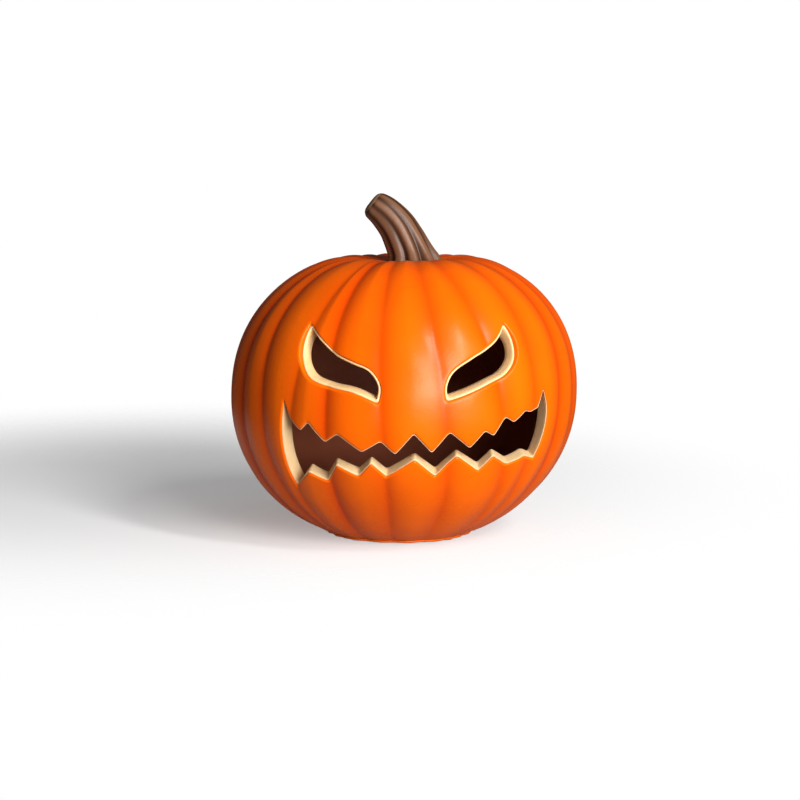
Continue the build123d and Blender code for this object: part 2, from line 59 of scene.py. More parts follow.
# Grooves between the lobes: longitude at the equator, its drift for each degree of latitude,
# and the groove's share of the full depth
GROOVES = [
    (-171, 0.00, 1.0), (-152, 0.03, 0.9), (-133, -0.02, 1.0), (-115, 0.04, 1.0),
    (-98, 0.00, 1.0), (-82, -0.05, 0.9), (-67, -0.06, 1.0), (-52.5, -0.08, 0.8),
    (-38.5, 0.12, 0.6), (-25.5, 0.00, 0.9), (-7, -0.07, 0.7), (13, -0.12, 0.65),
    (33, -0.20, 0.6), (47, -0.03, 0.6), (62, 0.05, 0.8), (78, 0.03, 1.0), (95, 0.00, 1.0),
    (113, -0.03, 0.9), (132, 0.04, 1.0), (152, -0.02, 0.9), (171, 0.03, 1.0),
]
DRIFT_LIMITS = (-30, 55)
GROOVE_DEPTH = 1.9
GROOVE_HALF_WIDTH = 5.0
GROOVE_ROOT = 0.8
CAVITY_RELIEF = 0.4
TOP_LATITUDE = 84.0
FOOT_RELIEF = 0.3            # share of the grooves' depth that is left at the foot
FOOT_FADE_FROM = -78.0
FOOT_FADE_LENGTH = 38.0
POLE_LATITUDE = 89.8
FADE_LENGTH = 12.0
HAND_WAVE = 0.22             # the surface of the casting wanders inward by up to this much

# Carved face: each cut is a closed chain of curves through (longitude, latitude) points
LEFT_EYE = [
    [(-36.7, 27.9), (-37.6, 22.2), (-36.2, 16.6), (-32, 11.7), (-24.5, 9.2), (-16.4, 7.8), (-8.7, 4.8)],
    [(-8.7, 4.8), (-8.3, 9.2), (-11.4, 13.8), (-17.3, 16.2), (-22.9, 18.4), (-28.6, 22), (-36.7, 27.9)],
]
RIGHT_EYE = [
    [(37.5, 27.7), (39.8, 22), (39, 17.6), (34.5, 12.7), (27.6, 9.9), (20.8, 7.4), (13.9, 5.3)],
    [(13.9, 5.3), (13.5, 8.7), (14.7, 12.1), (22.4, 17.5), (28.3, 20.3), (32.6, 22.9), (37.5, 27.7)],
]
UPPER_TEETH = [
    (-41.3, 3.4), (-38.9, -2.6), (-34.4, -5.8), (-31.4, -2.9), (-25.8, -9.3), (-21.1, -6.1),
    (-13, -11.6), (-7.2, -8.1), (-2.3, -12.3), (3.3, -5.4), (9.3, -11.8), (14.9, -5.3),
    (21.7, -10.7), (26.5, -5.3), (29.9, -7.2), (34.2, -1.5), (37.4, -3.4), (41.9, -0.1),
    (44.6, -0.7), (48.3, 0.2), (50.7, 6.0),
]
RIGHT_CHEEK = [(50.7, 6.0), (52.4, 0.5), (52.3, -6.5), (50.2, -16.6)]
LOWER_TEETH = [
    (50.2, -16.6), (44.4, -15.1), (37.2, -17.3), (30.7, -13.5), (26, -18.4), (17.6, -12.6),
    (11.2, -19.7), (3.9, -13.4), (-5.2, -20.1), (-10.1, -14.9), (-14.6, -19.8), (-22.2, -16.3),
    (-26.7, -22.9), (-33.1, -19.5), (-41.6, -26.3),
]
LEFT_CHEEK = [(-41.6, -26.3), (-42.3, -18.5), (-42.1, -6), (-41.3, 3.4)]
EYE_LIFT = 0.9               # latitude that the knife gains as it goes through the wall
MOUTH_LIFT = 0.2
EYE_TAPER = 0.8              # the hole is this much narrower on each side at the cavity
MOUTH_TAPER = 0.0
MOUTH_FLARE = 0.08           # longitude gained in the wall, as a share of the longitude outside
FLARE_LIMITS = (-42.0, 58.0)
FLARE_FADE = 12.0
EYE_LEDGE = 1.0              # the slip stands this far inside the orange edge
MOUTH_LEDGE = 0.4
MITRE_LIMIT = 0.5            # the mitres of sharper corners are cut short by this
EDGE_SPACING = 0.7
EDGE_SMOOTHING = 3
EDGE_ROLL = [(1.0, 0.0), (0.6, 0.05), (0.3, 0.2), (0.08, 0.45)]  # beyond the ledge, and depth
LIP_DEPTH = 0.5              # where the slip starts, below the rolled edge
EYE_SHOULDER = 1.3           # and this much lower on the outer side of an eye
SLIP_EDGE = [(0.95, 0.25), (0.6, 0.0), (0.25, 0.15), (0.03, 0.5)]  # share of the ledge, depth
SLIP_WALL = [(0.0, 2.6), (0.0, 4.6), (0.0, 6.6), (0.3, 7.0), (0.95, 7.05)]

# Mesh of the body: columns follow the lobes, rows follow the latitude
COLUMNS_PER_LOBE = 20
COARSE_STEP = 4              # the cavity has one column and one row for this many outside
FACE_LOBES = (7, 14)         # the lobes that the cuts may reach
FACE_LATITUDES = (-34.0, 38.0)
FACE_ROWS = 80
TOP_ROWS = 36
FOOT_ROWS = 24
CUT_CLEARANCE = 0.55         # no point of the grid comes nearer to a rolled edge

# Foot and base hole
FOOT_Z = 1.0
FOOT_ROUNDING = [(0.0, 1.3), (0.35, 0.6), (0.9, 0.15), (1.8, 0.0)]  # inward, above the foot
RECESS_RADIUS = 24.0
RECESS_Z = 4.0
CAVITY_FLOOR_Z = 9.0
BASE_HOLE_RADIUS = 21.0

# Stem: place of the centre (x, z), mean radius and depth of the ribs, from the root to the tip
STEM_SECTIONS = [
    (4.6, 120.5, 14.2, 0.12), (4.2, 124.0, 13.5, 0.12), (3.6, 127.0, 11.8, 0.10),
    (2.4, 131.0, 10.1, 0.075), (0.1, 136.0, 9.4, 0.055), (-3.3, 142.0, 8.7, 0.035),
    (-8.2, 147.6, 7.8, 0.02), (-12.6, 151.1, 6.8, 0.005), (-13.6, 151.9, 6.2, 0.0),
]
STEM_RIBS = 9
STEM_TWIST = 18.0
STEM_COLUMNS_PER_RIB = 14
STEM_ROWS_PER_SECTION = 8
STEM_RIB_MEAN = 0.4
STEM_TIP = [(0.95, 0.5), (0.85, 1.1), (0.68, 1.6), (0.45, 1.85), (0.2, 1.9)]  # share of radius, height

# Camera and light
CAMERA_DISTANCE = 1.0
CAMERA_ELEVATION = 7.5
CAMERA_AIM_Z = 0.0616
CAMERA_LENS = 97.31
CAMERA_SENSOR = 36.0
CAMERA_SHIFT_X = -0.0045
FILL = 0.20                  # strength of the light from all round
GLOSS_FILL = 0.06            # what the glaze mirrors of it
SHADOW_CENTRE = (-0.12, 0.13, 0.0)
FLOOR_FADE = (0.08, 0.34)    # distances from there over which the floor turns see-through
FLOOR_SEE_THROUGH = 0.25     # and how far it is so already at the nearer one
VIEW_GAMMA = 0.88
SOFTBOX_DISTANCE = 1.2
SOFTBOXES = [                # name, azimuth, elevation, size and power
    ("key", 28, 18, (0.6, 0.6), 16.0),
    ("highlights", 41, 40, (0.12, 0.35), 6.0),
    ("low_fill", 24, 4, (0.8, 0.2), 7.0),
]


# ---- Shape of the ceramic body ---------------------------------------------------------------

def meridian(latitude):
    """Distance from the axis and height of the smooth body at a latitude."""
    angle = radians(latitude)
    height, power = (UPPER_HEIGHT, UPPER_POWER) if latitude > 0 else (LOWER_HEIGHT, LOWER_POWER)
    reach = ((cos(angle)/BODY_RADIUS)**power + (abs(sin(angle))/height)**power)**(-1/power)
    radius = reach*cos(angle)
    dimple = DIMPLE_DEPTH*exp(-(radius/DIMPLE_RADIUS)**2) if latitude > 0 else 0.0
    return radius, EQUATOR_Z + reach*sin(angle) - dimple


def outward(latitude):
    """Unit normal of the smooth body, as its radial and upward parts."""
    below, above = meridian(latitude - 0.1), meridian(latitude + 0.1)
    run, rise = above[0] - below[0], above[1] - below[1]
    length = hypot(run, rise)
    return rise/length, -run/length


def groove_longitudes(latitude):
    lowest, highest = DRIFT_LIMITS
    drifting = min(highest, max(lowest, latitude))
    return [longitude + drift*drifting for longitude, drift, _ in GROOVES]


def groove_relief(longitude, latitude):
    """How far the lobed surface lies under the smooth body."""
    radius = meridian(latitude)[0]
    deepest = 0.0
    for groove, (_, _, share) in zip(groove_longitudes(latitude), GROOVES):
        distance = radians(abs((longitude - groove + 180)%360 - 180))*radius
        fall = exp((GROOVE_ROOT - hypot(distance, GROOVE_ROOT))/GROOVE_HALF_WIDTH)
        deepest = max(deepest, share*fall)
    fade = min(1.0, max(0.0, (TOP_LATITUDE - latitude)/FADE_LENGTH))
    fade *= min(1.0, max(FOOT_RELIEF, (latitude - FOOT_FADE_FROM)/FOOT_FADE_LENGTH))
    return fade*GROOVE_DEPTH*deepest


def hand_wave(longitude, latitude):
    """The slow unevenness of a casting that was finished by hand."""
    a, b = radians(longitude), radians(latitude)
    wave = sin(3*a + 4*b) + sin(5*a - 7*b + 1.3) + sin(11*a + 9*b + 0.5)*0.6 + sin(8*b - 2*a)*0.8
    return HAND_WAVE*(0.5 + wave/6.8)


def body_point(longitude, latitude, depth):
    """The point at a depth under the smooth body."""
    radius, z = meridian(latitude)
    normal_radius, normal_z = outward(latitude)
    radius -= depth*normal_radius
    z -= depth*normal_z
    angle = radians(longitude)
    return (radius*sin(angle) + LEAN*(z - EQUATOR_Z), -radius*cos(angle), z)


def wall_point(longitude, latitude, depth):
    """The point at a depth in the clay. The lobes and the unevenness die out towards the cavity."""
    share = depth/WALL
    relief = groove_relief(longitude, latitude)*(1 + share*(CAVITY_RELIEF - 1))
    relief += hand_wave(longitude, latitude)*max(0.0, 1 - share)
    return body_point(longitude, latitude, depth + relief)


# ---- Cuts ------------------------------------------------------------------------------------

def straight_cuts(points):
    return [[start, end] for start, end in zip(points, points[1:])]


def anticlockwise(outline):
    """The same outline, run so that the cut is on the left and the clay on the right."""
    chain = [point for curve in outline for point in curve[:-1]]
    area = sum(a[0]*b[1] - b[0]*a[1] for a, b in zip(chain, chain[1:] + chain[:1]))
    return outline if area > 0 else [curve[::-1] for curve in outline[::-1]]


def grown(outline, distance):
    """An anticlockwise outline moved outward by a distance in millimetres, corners mitred."""
    chain = [point for curve in outline for point in curve[:-1]]
    moved = {}
    for index, point in enumerate(chain):
        before, after = chain[index - 1], chain[(index + 1)%len(chain)]
        sides = []
        for start, end in ((before, point), (point, after)):
            run, rise = end[0] - start[0], end[1] - start[1]
            length = hypot(run, rise)
            sides.append((rise/length, -run/length))
        (ax, ay), (bx, by) = sides
        spread = max(MITRE_LIMIT, 1 + ax*bx + ay*by)
        shift = degrees(distance/BODY_RADIUS)/spread
        moved[point] = (point[0] + shift*(ax + bx), point[1] + shift*(ay + by))
    return [[moved[point] for point in curve] for curve in outline]


def curve_samples(points, counts):
    """Points along a smooth curve through the given ones, without the last."""
    points = np.array(points, float)
    spans = np.linalg.norm(np.diff(points, axis=0), axis=1)
    slopes = np.diff(points, axis=0)/spans[:, None]
    tangents = np.empty_like(points)
    tangents[0], tangents[-1] = slopes[0], slopes[-1]
    for index in range(1, len(points) - 1):
        before, after = spans[index - 1], spans[index]
        blend = slopes[index - 1]*after + slopes[index]*before
        tangents[index] = blend/(before + after)
    if len(points) > 2:
        tangents[0] = 1.5*slopes[0] - 0.5*tangents[1]
        tangents[-1] = 1.5*slopes[-1] - 0.5*tangents[-2]
    samples = []
    for index, count in enumerate(counts):
        start, end = points[index], points[index + 1]
        leave, arrive = tangents[index]*spans[index], tangents[index + 1]*spans[index]
        for step in range(count):
            t = step/count
            samples.append(
                start*(1 + 2*t)*(1 - t)**2 + leave*t*(1 - t)**2
                + end*t*t*(3 - 2*t) - arrive*t*t*(1 - t)
            )
    return samples


class Cut:
    """One hole of the face: its outline, and the way the knife goes through the wall."""

    def __init__(self, outline, lift, taper, flare, ledge, shoulder_side):
        self.outline = anticlockwise(outline)
        self.lift = lift
        self.taper = taper
        self.flare = flare
        self.ledge = ledge
        self.counts = []
        for curve in self.outline:
            spans = np.linalg.norm(np.diff(np.array(curve, float), axis=0), axis=1)
            lengths = np.radians(spans)*BODY_RADIUS
            self.counts.append([ceil(length/EDGE_SPACING) for length in lengths])
        self.lips = self.lip_depths(shoulder_side)

    def loop(self, growth):
        """The outline at a growth, with its corners a little rounded."""
        samples = []
        for curve, counts in zip(grown(self.outline, growth), self.counts):
            samples += curve_samples(curve, counts)
        loop = np.array(samples)
        for _ in range(EDGE_SMOOTHING):
            loop = (np.roll(loop, 1, axis=0) + 2*loop + np.roll(loop, -1, axis=0))/4
        return loop

    def lip_depths(self, shoulder_side):
        """Depth of the orange glaze along the edge: more on the outer side of an eye."""
        away = self.loop(self.ledge) - self.loop(0.0)
        away /= np.linalg.norm(away, axis=1)[:, None]
        outer = np.clip(away[:, 0]*shoulder_side, 0, 1)**1.5
        depths = LIP_DEPTH + EYE_SHOULDER*outer
        for _ in range(4*EDGE_SMOOTHING):
            depths = (np.roll(depths, 1) + 2*depths + np.roll(depths, -1))/4
        return depths

    def places(self, growth, depths):
        """Longitudes and latitudes of the knife's way through the wall, at the given depths."""
        low, high = FLARE_LIMITS
        share = (np.asarray(depths)/WALL)[:, None]
        places = self.loop(growth)*(1 - share) + self.loop(growth - self.taper)*share
        longitude = places[:, 0]
        fade = np.clip(np.minimum(longitude - low, high - longitude)/FLARE_FADE, 0, 1)
        places[:, 0] *= 1 + self.flare*fade*share[:, 0]
        places[:, 1] += self.lift*share[:, 0]
        return places

    def ring(self, growth, depths):
        return [wall_point(*place, depth) for place, depth in zip(self.places(growth, depths), depths)]


CUTS = {
    "left_eye": Cut(LEFT_EYE, EYE_LIFT, EYE_TAPER, 0.0, EYE_LEDGE, -1),
    "right_eye": Cut(RIGHT_EYE, EYE_LIFT, EYE_TAPER, 0.0, EYE_LEDGE, 1),
    "mouth": Cut(
        straight_cuts(UPPER_TEETH) + [RIGHT_CHEEK] + straight_cuts(LOWER_TEETH) + [LEFT_CHEEK],
        MOUTH_LIFT, MOUTH_TAPER, MOUTH_FLARE, MOUTH_LEDGE, 0,
    ),
}


# ---- Mesh building ---------------------------------------------------------------------------

class Piece:
    """The vertices and faces of one piece, with the tints that its material reads."""

    def __init__(self):
        self.points = []
        self.tints = []
        self.faces = []
        self.slots = []

    def add(self, points, tint=0.0):
        first = len(self.points)
        self.points += [tuple(point) for point in points]
        tints = tint if isinstance(tint, list) else [tint]*len(points)
        self.tints += tints
        return list(range(first, len(self.points)))

    def face(self, indices, slot=0):
        self.faces.append(tuple(indices))
        self.slots.append(slot)

    def band(self, ring, following, slot=0):
        """Quads between two closed rings of the same length."""
        count = len(ring)
        for index in range(count):
            after = (index + 1)%count
            self.face((ring[index], ring[after], following[after], following[index]), slot)

    def bands(self, rings, slot=0):
        for ring, following in zip(rings, rings[1:]):
            self.band(ring, following, slot)

    def object(self, name, materials):
        mesh = bpy.data.meshes.new(name)
        mesh.from_pydata([(x*MM, y*MM, z*MM) for x, y, z in self.points], [], self.faces)
        for material in materials:
            mesh.materials.append(material)
        mesh.polygons.foreach_set("material_index", self.slots)
        mesh.polygons.foreach_set("use_smooth", [True]*len(self.faces))
        tint = mesh.attributes.new("tint", "FLOAT", "POINT")
        tint.data.foreach_set("value", self.tints)
        mesh.validate()
        mesh.update()
        piece = bpy.data.objects.new(name, mesh)
        bpy.context.scene.collection.objects.link(piece)
        return piece


def inside(points, loop):
    """Which points lie inside a closed loop."""
    x, y = points[:, 0, None], points[:, 1, None]
    ax, ay = loop[None, :, 0], loop[None, :, 1]
    bx, by = np.roll(ax, -1, axis=1), np.roll(ay, -1, axis=1)
    spans = (ay > y) != (by > y)
    with np.errstate(divide="ignore", invalid="ignore"):
        crossing = ax + (y - ay)*(bx - ax)/(by - ay)
    return (spans & (x < crossing)).sum(axis=1)%2 == 1


def distance_to(points, loop):
    """The distance from each point to a closed loop."""
    start = loop[None]
    run = np.roll(loop, -1, axis=0)[None] - start
    away = points[:, None] - start
    t = np.clip((away*run).sum(axis=2)/(run**2).sum(axis=2), 0, 1)
    return np.linalg.norm(away - run*t[..., None], axis=2).min(axis=1)


def lobe_longitude(column, latitude):
    """The longitude of a column. Columns crowd together near the grooves."""
    grooves = groove_longitudes(latitude)
    lobe, step = divmod(column, COLUMNS_PER_LOBE)
    start = grooves[lobe%len(grooves)]
    end = grooves[(lobe + 1)%len(grooves)]
    share = step/COLUMNS_PER_LOBE
    share = (share + (1 - cos(pi*share))/2)/2
    return start + share*((end - start)%360)


def foot_latitude(column, depth, z):
    """The latitude at which a column comes down to a height."""
    low, high = -85.0, -20.0
    for _ in range(30):
        middle = (low + high)/2
        point = wall_point(lobe_longitude(column, middle), middle, depth)
        low, high = (middle, high) if point[2] < z else (low, middle)
    return high


def body_grid(piece, depth, step, bottom_z):
    """The rings of the body at a depth, from the bottom to the top, as (places, indices)."""
    columns = range(0, COLUMNS_PER_LOBE*len(GROOVES), step)
    face_low, face_high = FACE_LATITUDES
    feet = [foot_latitude(column, depth, bottom_z) for column in columns]
    shares = [(row/FOOT_ROWS, None) for row in range(0, FOOT_ROWS, step)]
    face = [face_low + (face_high - face_low)*row/FACE_ROWS for row in range(0, FACE_ROWS, step)]
    top = [face_high + (TOP_LATITUDE - face_high)*row/TOP_ROWS for row in range(0, TOP_ROWS + 1, step)]
    rows = shares + [(None, latitude) for latitude in face + top]
    grid = []
    for share, latitude in rows:
        places = []
        for column, foot in zip(columns, feet):
            here = latitude if share is None else foot + share*(face_low - foot)
            places.append((lobe_longitude(column, here), here))
        points = [wall_point(*place, depth) for place in places]
        tints = [groove_relief(*place)/GROOVE_DEPTH for place in places]
        grid.append((places, piece.add(points, tints)))
    return grid


def carved_surface(piece, depth, step, bottom_z, roll, slot):
    """The body's surface at a depth with the cuts left open. Gives its bottom ring and edges."""
    grid = body_grid(piece, depth, step, bottom_z)
    first_row = FOOT_ROWS//step
    last_row = first_row + FACE_ROWS//step
    first, last = (lobe*COLUMNS_PER_LOBE//step for lobe in FACE_LOBES)
    count = len(grid[0][0])
    for row, ((_, ring), (_, following)) in enumerate(zip(grid, grid[1:])):
        for column in range(count):
            if first_row <= row < last_row and first <= column < last:
                continue
            after = (column + 1)%count
            piece.face((ring[column], ring[after], following[after], following[column]), slot)
    top = piece.add([body_point(0, POLE_LATITUDE, depth)])[0]
    for column in range(count):
        piece.face((grid[-1][1][column], grid[-1][1][(column + 1)%count], top), slot)

    places, indices = [], []
    for row in range(first_row, last_row + 1):
        places += grid[row][0][first:last + 1]
        indices += grid[row][1][first:last + 1]
    width = last - first + 1
    edges = fill_face(piece, places, indices, width, depth, roll, slot)
    return grid[0][1], edges


def fill_face(piece, places, indices, width, depth, roll, slot):
    """Triangles over the part of the body that the cuts are in. Gives the edge of each cut."""
    to_mm = radians(1)*BODY_RADIUS
    plane = np.array(places)*to_mm
    height = len(places)//width
    border = list(range(width)) + [row*width + width - 1 for row in range(1, height)]
    border += [height*width - 1 - step for step in range(1, width)]
    border += [row*width for row in range(height - 2, 0, -1)]
    keep = np.ones(len(places), bool)
    loops = {}
    for name, cut in CUTS.items():
        depths = np.full(len(cut.lips), depth)
        loops[name] = cut.places(cut.ledge + roll, depths)*to_mm
        keep &= ~inside(plane, loops[name]) & (distance_to(plane, loops[name]) > CUT_CLEARANCE)
    keep[border] = True

    kept = np.flatnonzero(keep)
    number = {old: new for new, old in enumerate(kept)}
    flat = [Vector(plane[index]) for index in kept]
    all_indices = [indices[index] for index in kept]
    lines = [(number[a], number[b]) for a, b in zip(border, border[1:] + border[:1])]
    edges = {}
    for name, cut in CUTS.items():
        ring = cut.ring(cut.ledge + roll, np.full(len(cut.lips), depth))
        tints = [groove_relief(*place)/GROOVE_DEPTH for place in loops[name]/to_mm]
        edges[name] = piece.add(ring, tints)
        start = len(flat)
        size = len(ring)
        flat += [Vector(point) for point in loops[name]]
        all_indices += edges[name]
        lines += [(start + index, start + (index + 1)%size) for index in range(size)]

    points, _, triangles, sources, _, _ = geometry.delaunay_2d_cdt(flat, lines, [], 0, 1e-5)
    middles = np.array([sum((points[i] for i in face), Vector((0, 0)))/3 for face in triangles])
    wanted = inside(middles, plane[border])
    for loop in loops.values():
        wanted &= ~inside(middles, loop)
    for face, is_wanted in zip(triangles, wanted):
        if is_wanted:
            piece.face([all_indices[sources[corner][0]] for corner in face], slot)
    return edges


# ---- Pieces ----------------------------------------------------------------------------------

GLAZE_SLOT, CAVITY_SLOT, CLAY_SLOT = 0, 1, 2


def circle(radius, z, count_like):
    """A level ring whose points stand at the longitudes of the given ones."""
    ring = []
    for x, y, _ in count_like:
        angle = atan2(y, x)
        ring.append((radius*cos(angle), radius*sin(angle), z))
    return ring


def make_shell(materials):
    piece = Piece()
    rounding_top = FOOT_Z + FOOT_ROUNDING[0][1]
    foot, outer_edges = carved_surface(piece, 0.0, 1, rounding_top, EDGE_ROLL[0][0], GLAZE_SLOT)
    floor, inner_edges = carved_surface(piece, WALL, COARSE_STEP, CAVITY_FLOOR_Z, 0.0, CAVITY_SLOT)

    for name, cut in CUTS.items():
        rings = [outer_edges[name]]
        for beyond, depth in EDGE_ROLL[1:]:
            depths = np.full(len(cut.lips), depth)
            rings.append(piece.add(cut.ring(cut.ledge + beyond, depths)))
        rings.append(piece.add(cut.ring(cut.ledge, cut.lips + SLIP_EDGE[0][1])))
        rings.append(piece.add(cut.ring(cut.ledge, (cut.lips + WALL)/2)))
        piece.bands(rings, GLAZE_SLOT)
        piece.band(rings[-1], inner_edges[name], CLAY_SLOT)

    outline = [piece.points[index] for index in foot]
    rings = [foot]
    for inward, above in FOOT_ROUNDING[1:]:
        ring = []
        for x, y, _ in outline:
            share = 1 - inward/hypot(x, y)
            ring.append((x*share, y*share, FOOT_Z + above))
        rings.append(piece.add(ring))
    piece.bands(rings, GLAZE_SLOT)
    under = [rings[-1]]
    for radius, z in ((RECESS_RADIUS, FOOT_Z), (RECESS_RADIUS, RECESS_Z),
                      (BASE_HOLE_RADIUS, RECESS_Z), (BASE_HOLE_RADIUS, CAVITY_FLOOR_Z)):
        under.append(piece.add(circle(radius, z, outline)))
    piece.bands(under, CLAY_SLOT)
    for index, corner in enumerate(floor):
        after = (index + 1)%len(floor)
        fine = [under[-1][(index*COARSE_STEP + step)%len(outline)] for step in range(COARSE_STEP + 1)]
        piece.face(fine + [floor[after], corner], CAVITY_SLOT)
    return piece.object("pumpkin_glazed", materials)


def make_slip(name, cut, material):
    """The coat of cream slip on the walls of one cut, a closed skin."""
    piece = Piece()
    rings = []
    for share, depth in SLIP_EDGE:
        rings.append(piece.add(cut.ring(share*cut.ledge, cut.lips + depth)))
    for share, depth in SLIP_WALL:
        rings.append(piece.add(cut.ring(share*cut.ledge, np.full(len(cut.lips), depth))))
    piece.bands(rings)
    piece.band(rings[-1], rings[0])
    return piece.object(name, [material])


def stem_section(position):
    """Centre, heading, mean radius and rib depth at a position along the stem."""
    last = len(STEM_SECTIONS) - 1
    index = min(int(position), last - 1)
    t = position - index
    sections = np.array(STEM_SECTIONS)
    before, start = sections[max(index - 1, 0)], sections[index]
    end, after = sections[index + 1], sections[min(index + 2, last)]
    leave, arrive = (end - before)/2, (after - start)/2
    place = start*(1 + 2*t)*(1 - t)**2 + leave*t*(1 - t)**2 + end*t*t*(3 - 2*t) - arrive*t*t*(1 - t)
    heading = (start - end)*6*t*(t - 1) + leave*(1 - t)*(1 - 3*t) + arrive*t*(3*t - 2)
    x, z, radius, ribs = place
    return Vector((x, 0, z)), Vector((heading[0], 0, heading[1])).normalized(), radius, ribs


def stem_ring(centre, heading, radius, ribs, turn):
    """A ribbed ring across the stem, and how deep in a groove each of its points is."""
    forward = Vector((0, -1, 0))
    sideways = heading.cross(forward)
    count = STEM_RIBS*STEM_COLUMNS_PER_RIB
    points, tints = [], []
    for column in range(count):
        angle = 2*pi*column/count
        wave = cos(STEM_RIBS*angle)
        crest = wave - 0.25*cos(2*STEM_RIBS*angle)
        reach = radius*(1 + ribs*(crest - STEM_RIB_MEAN))
        turned = angle + turn
        points.append(centre + forward*reach*cos(turned) + sideways*reach*sin(turned))
        tints.append((1 - wave)/2)
    return points, tints


def make_stem(bark, cut_face):
    piece = Piece()
    last = len(STEM_SECTIONS) - 1
    rings = []
    for row in range(last*STEM_ROWS_PER_SECTION + 1):
        position = row/STEM_ROWS_PER_SECTION
        centre, heading, radius, ribs = stem_section(position)
        turn = radians(STEM_TWIST*position/last)
        rings.append(piece.add(*stem_ring(centre, heading, radius, ribs, turn)))
    piece.bands(rings, 0)
    tip = [rings[-1]]
    for share, height in STEM_TIP:
        points, tints = stem_ring(centre + heading*height, heading, radius*share, ribs*share, turn)
        tip.append(piece.add(points, tints))
    piece.bands(tip[:2], 0)
    piece.bands(tip[1:], 1)
    piece.face(tip[-1], 1)
    piece.face(rings[0][::-1], 0)
    return piece.object("stem_ribbed", [bark, cut_face])


# ---- Materials -------------------------------------------------------------------------------

class Finish:
    """A material under construction: a Principled shader and what feeds it."""

    def __init__(self, name, **constants):
        self.material = bpy.data.materials.new(name)
        self.material.use_nodes = True
        self.nodes = self.material.node_tree.nodes
        self.links = self.material.node_tree.links
        self.shader = self.nodes["Principled BSDF"]
        for socket, value in constants.items():
            self.shader.inputs[socket.replace("_", " ")].default_value = value
        self.place = self.nodes.new("ShaderNodeTexCoord").outputs["Object"]

    def noise(self, scale, detail=3.0, roughness=0.5, stretch=None):
        """Soft noise whose scale is in features per metre."""
        node = self.nodes.new("ShaderNodeTexNoise")
        node.inputs["Scale"].default_value = scale
        node.inputs["Detail"].default_value = detail
        node.inputs["Roughness"].default_value = roughness
        place = self.place
        if stretch:
            mapping = self.nodes.new("ShaderNodeMapping")
            mapping.inputs["Scale"].default_value = stretch
            self.links.new(place, mapping.inputs["Vector"])
            place = mapping.outputs["Vector"]
        self.links.new(place, node.inputs["Vector"])
        return node.outputs["Fac"]

    def tint(self):
        node = self.nodes.new("ShaderNodeAttribute")
        node.attribute_name = "tint"
        return node.outputs["Fac"]

    def ramp(self, factor, *stops):
        """Colours or grey values at positions from 0 to 1."""
        node = self.nodes.new("ShaderNodeValToRGB")
        self.links.new(factor, node.inputs["Fac"])
        elements = node.color_ramp.elements
        while len(elements) < len(stops):
            elements.new(0.5)
        for element, (position, value) in zip(elements, stops):
            element.position = position
            element.color = (value, value, value, 1) if isinstance(value, (int, float)) else (*value, 1)
        return node.outputs["Color"]

    def mixed(self, factor, first, second, blend="MIX"):
        node = self.nodes.new("ShaderNodeMix")
        node.data_type = "RGBA"
        node.blend_type = blend
        for value, socket in ((factor, node.inputs[0]), (first, node.inputs[6]), (second, node.inputs[7])):
            if isinstance(value, bpy.types.NodeSocket):
                self.links.new(value, socket)
            elif isinstance(value, tuple):
                socket.default_value = (*value, 1)
            else:
                socket.default_value = value
        return node.outputs[2]

    def feed(self, socket, output):
        self.links.new(output, self.shader.inputs[socket])

    def bump(self, height, distance, strength=1.0):
        node = self.nodes.new("ShaderNodeBump")
        node.inputs["Distance"].default_value = distance
        node.inputs["Strength"].default_value = strength
        self.links.new(height, node.inputs["Height"])
        previous = self.shader.inputs["Normal"].links
        if previous:
            self.links.new(previous[0].from_socket, node.inputs["Normal"])
        self.links.new(node.outputs["Normal"], self.shader.inputs["Normal"])


def orange_glaze():
    finish = Finish("orange_glaze", Roughness=0.28, Specular_IOR_Level=0.2)
    # darker and redder towards the grooves: partly glaze pooling in them, partly painted shade where the
    # creases fall into shadow
    pooling_and_shade = finish.ramp(finish.tint(), (0.1, (0.80, 0.145, 0.0006)), (0.95, (0.60, 0.066, 0.0004)))
    cloud = finish.ramp(finish.noise(28, 4), (0.35, (0.93, 0.88, 0.8)), (0.65, (1.0, 1.0, 1.0)))
    finish.feed("Base Color", finish.mixed(1.0, pooling_and_shade, cloud, "MULTIPLY"))
    finish.feed("Roughness", finish.ramp(finish.noise(60, 3), (0.3, 0.24), (0.7, 0.33)))
    finish.bump(finish.noise(90, 2), 0.0004, 0.35)
    finish.bump(finish.noise(900, 2), 0.00005, 0.5)
    return finish.material


def cavity_glaze():
    finish = Finish("cavity_brown", Roughness=0.6, Specular_IOR_Level=0.3)
    cloud = finish.noise(30, 4)
    finish.feed("Base Color", finish.ramp(cloud, (0.3, (0.34, 0.105, 0.052)), (0.7, (0.42, 0.135, 0.068))))
    finish.bump(finish.noise(300, 3), 0.0002, 0.5)
    return finish.material


def bare_clay():
    finish = Finish("bare_clay", Roughness=0.85)
    cloud = finish.noise(120, 6)
    finish.feed("Base Color", finish.ramp(cloud, (0.3, (0.72, 0.62, 0.50)), (0.7, (0.85, 0.77, 0.66))))
    finish.bump(finish.noise(1500, 4), 0.0001, 0.6)
    return finish.material


def cream_slip():
    finish = Finish("cream_slip", Roughness=0.45, IOR=1.45, Subsurface_Weight=0.5, Subsurface_Scale=0.004)
    finish.shader.inputs["Subsurface Radius"].default_value = (1.0, 0.8, 0.6)
    cloud = finish.ramp(finish.noise(80, 4), (0.3, (0.84, 0.50, 0.25)), (0.7, (0.90, 0.57, 0.30)))
    finish.feed("Base Color", cloud)
    finish.bump(finish.noise(500, 3), 0.00008, 0.6)
    return finish.material


